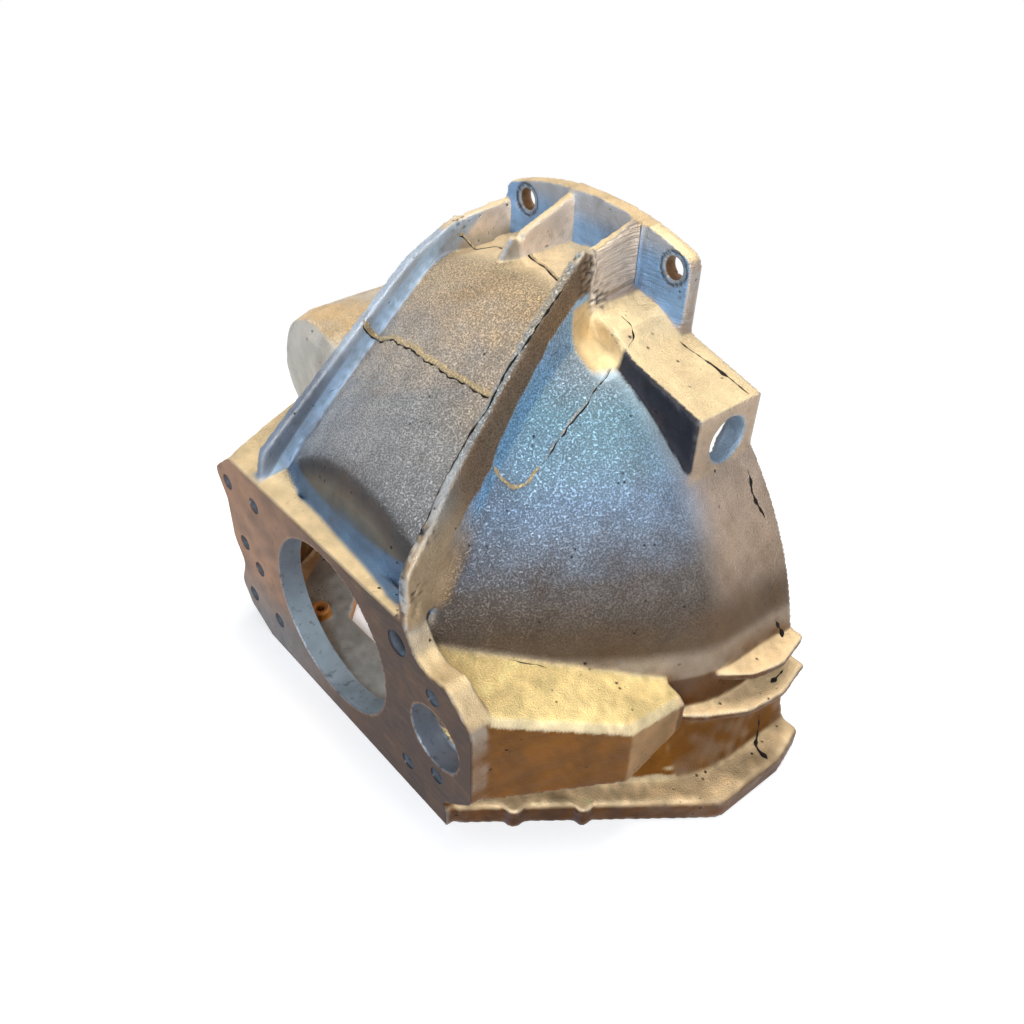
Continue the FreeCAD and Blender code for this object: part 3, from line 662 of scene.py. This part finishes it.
def machinedMetal(name, way, bright):
    # turned or milled metal: fine lines across, stained, edges painted bright as wear and painted highlight
    bench = Bench(name)
    coords = bench.node("ShaderNodeTexCoord", {}, {}, out=3)
    stretched = bench.node("ShaderNodeMapping", {}, {"Vector": coords, "Scale": way})
    lines = bench.noise(stretched, 260.0, 3.0, 0.6)
    cloud = bench.noise(coords, 34.0, 4.0, 0.6, 0.5)
    spots = bench.noise(coords, 240.0, 3.0, 0.6)
    colour = bench.mix(cloud.between(0.45, 0.7) * 0.12, bench.paint("tint"), bright)
    colour = bench.mix(lines.between(0.5, 0.7) * 0.08, colour, bright)
    colour = bench.mix(spots.between(0.58, 0.72) * 0.5, colour, shade["soot"])
    colour = bench.mix(bench.mark("edgeWearAndHighlight") * 0.5, colour, bright)
    relief = lines + spots * 0.5
    bump = bench.node("ShaderNodeBump", {}, {"Strength": 0.3, "Distance": 0.0002, "Height": relief})
    return bench.finish(Base_Color=colour, Roughness=0.40 + cloud * 0.2, Metallic=0.6, Normal=bump)


castFinish = castMetal("castAluminium", castLook)
faceFinish = machinedMetal("machinedFace", (1.0, 0.25, 1.0), hue(180, 140, 108))
boreFinish = machinedMetal("boreWall", (6.0, 1.0, 1.0), hue(166, 176, 186))


def finishOf(centre):
    # 0 casting, 1 machined plane, 2 bore wall
    x, y, z = centre.T / mm
    kind = np.zeros(len(centre), np.int32)
    kind[(x < 0.3) | (x > backX - 0.3) | (z < jointZ + 0.3)] = 1
    for by, bz, br, x0, x1 in boreList:
        kind[(np.hypot(y - by, z - bz) < br + 0.6) & (x < x1 + 0.3) & (x > 0.05)] = 2
    return kind


def skinPieces():
    # the skin cut by the angle about the crank axis into pieces of like size that share their edge points
    centre = points[quads].mean(1)
    kind = finishOf(centre)
    order = np.argsort(np.arctan2(centre[:, 2], centre[:, 1]))
    colours = np.concatenate([tint, np.ones((len(tint), 1))], 1).astype(np.float32)
    made = []
    for k, part in enumerate(np.array_split(order, skinSizes["parts"])):
        used, local = np.unique(quads[part], return_inverse=True)
        local = local.reshape(-1, 4).astype(np.int32)
        mesh = bpy.data.meshes.new(f"castingSkin{k}")
        mesh.vertices.add(len(used))
        mesh.vertices.foreach_set("co", points[used].astype(np.float32).ravel())
        mesh.loops.add(local.size)
        mesh.loops.foreach_set("vertex_index", local.ravel())
        mesh.polygons.add(len(local))
        mesh.polygons.foreach_set("loop_start", np.arange(0, local.size, 4, dtype=np.int32))
        mesh.polygons.foreach_set("material_index", kind[part])
        mesh.update(calc_edges=True)
        mesh.polygons.foreach_set("use_smooth", np.ones(len(local), bool))
        for name, values in (("edgeWearAndHighlight", edgeWearAndHighlight), ("cornerShadeAndGrime", cornerShadeAndGrime), ("sand", sand), ("scored", scored)):
            mark = mesh.attributes.new(name, "FLOAT", "POINT")
            mark.data.foreach_set("value", values[used].astype(np.float32))
        mark = mesh.attributes.new("tint", "FLOAT_COLOR", "POINT")
        mark.data.foreach_set("color", colours[used].ravel())
        mesh.normals_split_custom_set_from_vertices(normal[used].astype(np.float32))
        piece = bpy.data.objects.new(f"castingSkin{k}", mesh)
        bpy.context.scene.collection.objects.link(piece)
        for finish in (castFinish, faceFinish, boreFinish):
            mesh.materials.append(finish)
        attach(piece, "root")
        made.append(piece)
    return made


skin = skinPieces()
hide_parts("clutch_housing")
print("skin pieces", [len(piece.data.polygons) for piece in skin])


# flash and cracks: distance of stations along them, reach of the skin they drop onto, points round the oval
sweepSizes = {"step": 0.7, "near": 6.0 * mm, "around": 10}


def seated(line, waver, seed):
    # stations along the line, wavering sideways, dropped onto the nearest skin
    line = np.array(line)
    run = np.concatenate([[0.0], np.cumsum(np.linalg.norm(np.diff(line, axis=0), axis=1))])
    t = np.arange(0.0, run[-1], sweepSizes["step"])
    path = np.stack([np.interp(t, run, line[:, c]) for c in range(3)], 1)
    for step in range(4):
        path[1:-1] = 0.25 * path[:-2] + 0.5 * path[1:-1] + 0.25 * path[2:]
    path *= mm
    reach = sweepSizes["near"]
    near = np.all((points > path.min(0) - reach) & (points < path.max(0) + reach), axis=1)
    host, facing = points[near], normal[near]

    def drop(at):
        closest = np.argmin(((at[:, None] - host[None]) ** 2).sum(2), axis=1)
        face = facing[closest]
        return at - ((at - host[closest]) * face).sum(1)[:, None] * face, face

    path, face = drop(path)
    ahead = np.gradient(path, axis=0)
    ahead /= np.linalg.norm(ahead, axis=1, keepdims=True)
    side = np.cross(face, ahead)
    side /= np.linalg.norm(side, axis=1, keepdims=True)
    sway = waves(path, 20 * mm, seed) * waver + waves(path, 6 * mm, seed + 1) * waver * 0.3
    path, face = drop(path + side * (sway * mm)[:, None])
    for step in range(3):
        face[1:-1] = face[:-2] + face[1:-1] + face[2:]
        face /= np.linalg.norm(face, axis=1, keepdims=True)
        path[1:-1] = 0.25 * path[:-2] + 0.5 * path[1:-1] + 0.25 * path[2:]
    return path, face, side, t


def sweep(name, line, look, colour, shift=0.0):
    # bead or crack: an oval, wide along the skin and high off it, carried along the seated line;
    # point = path + side * wide * cos(a) / 2 + face * (rise + high * sin(a) / 2)
    path, face, side, t = seated(line, look["waver"], look["seed"])
    ends = np.clip(np.minimum(t, t[-1] - t) / look["taper"], 0.04, 1.0) ** 0.6
    jitter = 1.0 + look["ragged"] * waves(path, 6 * mm, look["seed"] + 2)
    wide = look["wide"] * ends * np.clip(jitter, 0.25, 2.0) * mm
    high = look["high"] * ends * np.clip(jitter, 0.4, 1.6) * mm
    around = sweepSizes["around"]
    a = np.arange(around) / around * 2.0 * math.pi
    centre = path + side * shift * mm + face * look["rise"] * mm
    ring = (centre[:, None] + side[:, None] * (wide[:, None] / 2.0 * np.cos(a))[:, :, None]
            + face[:, None] * (high[:, None] / 2.0 * np.sin(a))[:, :, None])
    stations = len(path)
    i, j = np.meshgrid(np.arange(stations - 1), np.arange(around), indexing="ij")
    k = (j + 1) % around
    row, nextRow = i * around, (i + 1) * around
    faces = np.stack([row + j, row + k, nextRow + k, nextRow + j], 2).reshape(-1, 4)
    inside = np.clip(ring.reshape(-1, 3), np.array(cadBox[0]), np.array(cadBox[1]))
    mesh = bpy.data.meshes.new(name)
    caps = [tuple(range(around - 1, -1, -1)), tuple(range((stations - 1) * around, stations * around))]
    mesh.from_pydata(inside.tolist(), [], [tuple(face) for face in faces[:, ::-1].tolist()] + caps)
    mesh.polygons.foreach_set("use_smooth", np.ones(len(mesh.polygons), bool))
    mesh.update()
    piece = bpy.data.objects.new(name, mesh)
    bpy.context.scene.collection.objects.link(piece)
    count = len(mesh.vertices)
    for key, value in (("sand", 0.7), ("edgeWearAndHighlight", 0.0), ("cornerShadeAndGrime", 0.0), ("scored", 0.0)):
        mark = mesh.attributes.new(key, "FLOAT", "POINT")
        mark.data.foreach_set("value", np.full(count, value, np.float32))
    mark = mesh.attributes.new("tint", "FLOAT_COLOR", "POINT")
    mark.data.foreach_set("color", np.tile(np.array([*colour, 1.0], np.float32), count))
    mesh.materials.append(castFinish)
    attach(piece, "root")
    return piece


beadColour = hue(226, 204, 164)
lipColour = hue(200, 204, 204)
crackColour = hue(34, 30, 28)

beadLook = {"wide": 3.3, "high": 1.5, "rise": 0.1, "waver": 0.35, "ragged": 0.2, "taper": 4.0, "seed": 31}
crackLook = {"wide": 1.0, "high": 0.4, "rise": 0.0, "waver": 0.4, "ragged": 0.5, "taper": 8.0, "seed": 41}

panelFlash = [(84.0, 73.5, 142.5), (85.0, 71.6, 141.0), (89.7, 71.6, 132.8), (90.5, 66.0, 131.5),
              (92.6, 53.4, 137.2), (88.9, 26.6, 142.0), (88.0, 10.5, 143.3), (87.2, -3.1, 143.1),
              (89.3, -20.4, 143.1), (90.8, -32.9, 141.9), (92.0, -44.0, 140.0)]
flankFlash = [(71.2, -62.2, 121.6), (73.6, -65.2, 114.0), (76.4, -72.4, 111.2), (82.4, -76.4, 113.3),
              (91.3, -75.9, 120.4)]
flankSeam = [(91.3, -75.9, 120.4), (104.5, -75.7, 130.3), (120.4, -72.6, 140.6), (137.5, -68.9, 147.3),
             (150.4, -64.3, 150.8)]
crownSeam = [(153.0, 71.0, 176.0), (166.0, 52.0, 175.5), (160.0, 33.0, 178.0), (159.9, 14.7, 179.7),
             (159.0, 1.0, 180.3), (154.0, -16.0, 179.8), (150.0, -33.0, 178.0)]
bossSeam = [(191.5, -73.0, 156.4), (193.0, -85.5, 153.4), (195.2, -96.9, 150.5), (195.8, -107.4, 147.9),
            (196.2, -114.2, 146.2), (196.7, -121.5, 144.5)]
bossMark = [(158.9, -66.3, 160.6), (166.0, -63.4, 162.9), (169.7, -57.6, 166.8), (169.2, -48.7, 169.2)]
bandSeam = [(194.1, -129.7, 102.2), (192.4, -136.6, 93.4), (193.8, -142.1, 85.8), (195.0, -147.3, 78.0)]
ribEnd = [(21.0, -70.5, 112.0), (14.0, -73.0, 101.0), (8.0, -74.5, 88.0), (4.0, -75.5, 74.0)]
ribGroove = [(128.0, -46.0, 196.0), (115.6, -49.3, 188.9), (79.2, -56.8, 163.1), (45.7, -63.7, 136.6),
             (20.0, -71.0, 112.0)]
lowCracks = [[(191.8, -172.4, 21.4), (195.0, -175.0, 12.5), (192.5, -178.6, 12.0)],
             [(177.0, -188.5, -7.0), (191.2, -185.9, -7.0)],
             [(185.6, -182.5, -44.3), (180.8, -186.4, -53.9), (173.6, -191.6, -57.5), (171.4, -203.3, -57.5)]]
tunnelStep = [(46.0, -108.0, 33.0), (48.9, -110.3, 31.8), (54.1, -116.5, 30.4), (59.5, -124.2, 28.6)]

sweep("panelFlash", panelFlash, beadLook, beadColour)
sweep("panelFlashUndercut", panelFlash, dict(crackLook, waver=0.35, ragged=0.9, seed=31, wide=1.2),
      crackColour, shift=-1.9)
sweep("flankFlash", flankFlash, dict(beadLook, wide=2.3, high=1.3, seed=33), beadColour)
sweep("flankSeam", flankSeam, dict(crackLook, wide=0.8, ragged=0.7, waver=0.5, seed=43), crackColour)
sweep("flankSeamLip", flankSeam, dict(beadLook, wide=0.9, high=0.5, waver=0.5, ragged=0.6, seed=43),
      lipColour, shift=0.8)
sweep("crownSeam", crownSeam, dict(crackLook, seed=45), crackColour)
sweep("crownSeamLip", crownSeam, dict(beadLook, wide=1.7, high=0.7, waver=0.4, seed=45), beadColour,
      shift=1.2)
sweep("bossSeam", bossSeam, dict(crackLook, wide=1.6, seed=47), crackColour)
sweep("bossMark", bossMark, dict(crackLook, wide=0.8, seed=49), crackColour)
sweep("bandSeam", bandSeam, dict(crackLook, wide=1.2, seed=51), crackColour)
sweep("ribGroove", ribGroove, dict(crackLook, wide=0.9, waver=0.3, seed=53), crackColour)
sweep("ribEnd", ribEnd, dict(crackLook, wide=3.0, high=0.8, waver=0.8, ragged=0.6, seed=67), crackColour)
sweep("tunnelStep", tunnelStep, dict(crackLook, wide=0.9, seed=55), crackColour)
for k, line in enumerate(lowCracks):
    sweep(f"lowCrack{k}", line, dict(crackLook, wide=1.8, taper=3.0, seed=57 + k), crackColour)
print("flash and cracks made")

# floor, light and camera
stageSizes = {"floor": 12.0, "floorColour": (0.90, 0.90, 0.90), "lift": 0.30, "nearFloor": 0.22,
              "farFloor": 0.55}
floorMesh = bpy.data.meshes.new("floor")
half = stageSizes["floor"] / 2.0
floorZ = cadBox[0][2] - 0.0002
floorMesh.from_pydata([(-half, -half, floorZ), (half, -half, floorZ), (half, half, floorZ),
                       (-half, half, floorZ)], [], [(0, 1, 2, 3)])
floor = bpy.data.objects.new("floor", floorMesh)
bpy.context.scene.collection.objects.link(floor)


def floorPaper(sizes):
    # paper that keeps the shadow near the object and fades to plain white further out
    bench = Bench("floorPaper")
    tree = bench.tree
    bench.finish(Base_Color=sizes["floorColour"], Roughness=0.9)
    coords = bench.node("ShaderNodeTexCoord", {}, {}, out=3)
    away = bench.node("ShaderNodeVectorMath", {"operation": "DISTANCE"},
                      {0: coords, 1: (0.10, 0.0, floorZ)}, out=1)
    path = tree.nodes.new("ShaderNodeLightPath")
    seen = Wire(bench, path.outputs["Is Camera Ray"])
    for kind in ("Is Glossy Ray", "Is Transmission Ray"):
        seen = bench.maths("MAXIMUM", seen, Wire(bench, path.outputs[kind]))
    white = tree.nodes.new("ShaderNodeEmission")
    white.inputs[1].default_value = 1.0
    lift = tree.nodes.new("ShaderNodeEmission")
    bench.plug(lift.inputs[1], seen * sizes["lift"])
    near = tree.nodes.new("ShaderNodeAddShader")
    tree.links.new(bench.shader.outputs[0], near.inputs[0])
    tree.links.new(lift.outputs[0], near.inputs[1])
    blend = tree.nodes.new("ShaderNodeMixShader")
    bench.plug(blend.inputs[0], away.between(sizes["nearFloor"], sizes["farFloor"]) * seen)
    tree.links.new(near.outputs[0], blend.inputs[1])
    tree.links.new(white.outputs[0], blend.inputs[2])
    tree.links.new(blend.outputs[0], tree.nodes["Material Output"].inputs[0])
    return bench.material


floorMesh.materials.append(floorPaper(stageSizes))

worldLook = {"soft": (0.95, 0.97, 1.0, 1.0), "strength": 0.42}


def studioWorld(look):
    # soft light from all sides; seen straight or in a reflection the studio is plain white
    world = bpy.data.worlds.new("studio")
    bpy.context.scene.world = world
    world.use_nodes = True
    tree = world.node_tree
    tree.nodes.clear()
    path = tree.nodes.new("ShaderNodeLightPath")
    soft = tree.nodes.new("ShaderNodeBackground")
    soft.inputs[0].default_value = look["soft"]
    soft.inputs[1].default_value = look["strength"]
    white = tree.nodes.new("ShaderNodeBackground")
    white.inputs[1].default_value = 1.0
    seen = path.outputs["Is Camera Ray"]
    for kind in ("Is Glossy Ray", "Is Transmission Ray"):
        either = tree.nodes.new("ShaderNodeMath")
        either.operation = "MAXIMUM"
        tree.links.new(seen, either.inputs[0])
        tree.links.new(path.outputs[kind], either.inputs[1])
        seen = either.outputs[0]
    blend = tree.nodes.new("ShaderNodeMixShader")
    tree.links.new(seen, blend.inputs[0])
    tree.links.new(soft.outputs[0], blend.inputs[1])
    tree.links.new(white.outputs[0], blend.inputs[2])
    exitNode = tree.nodes.new("ShaderNodeOutputWorld")
    tree.links.new(blend.outputs[0], exitNode.inputs[0])


studioWorld(worldLook)

# name: place, size, power, colour
lampList = {"overhead": ((0.35, 0.05, 1.1), 0.6, 8.0, (1.0, 0.94, 0.84)),
            "front": ((-0.75, -0.75, 0.85), 0.4, 12.5, (0.88, 0.94, 1.0))}
lampTarget = Vector((0.1, 0.0, 0.05))
for name, (place, size, power, colour) in lampList.items():
    lamp = bpy.data.lights.new(name, "AREA")
    lamp.size = size
    lamp.energy = power
    lamp.color = colour
    lampObject = bpy.data.objects.new(name, lamp)
    bpy.context.scene.collection.objects.link(lampObject)
    lampObject.location = place
    lampObject.rotation_euler = (lampTarget - Vector(place)).to_track_quat("-Z", "Y").to_euler()

# the camera fitted to the photo: place in mm, angles in degrees, lens and centre in pixels of a 1024 frame
cameraView = {"place": (-198.6, -382.6, 421.6), "turn": 49.25, "down": 40.81, "roll": -1.65,
              "lens": 1004.8, "centre": (499.8, 556.6)}


def aimCamera(view):
    # turn about the vertical, tilt down, then roll about the looking direction
    a, e, r = (math.radians(view[key]) for key in ("turn", "down", "roll"))
    ahead = Vector((math.cos(a) * math.cos(e), math.sin(a) * math.cos(e), -math.sin(e)))
    right = ahead.cross(Vector((0, 0, 1))).normalized()
    below = ahead.cross(right)
    xAxis = right * math.cos(r) + below * math.sin(r)
    yAxis = below * math.cos(r) - right * math.sin(r)
    data = bpy.data.cameras.new("camera")
    camera = bpy.data.objects.new("camera", data)
    bpy.context.scene.collection.objects.link(camera)
    turned = Matrix((xAxis, -yAxis, -ahead)).transposed().to_4x4()
    camera.matrix_world = Matrix.Translation(Vector(view["place"]) * mm) @ turned
    data.sensor_width = 36.0
    data.lens = 36.0 * view["lens"] / 1024.0
    data.shift_x = (512.0 - view["centre"][0]) / 1024.0
    data.shift_y = (view["centre"][1] - 512.0) / 1024.0
    data.clip_start = 0.01
    bpy.context.scene.camera = camera


aimCamera(cameraView)
bpy.context.scene.view_settings.view_transform = "Standard"
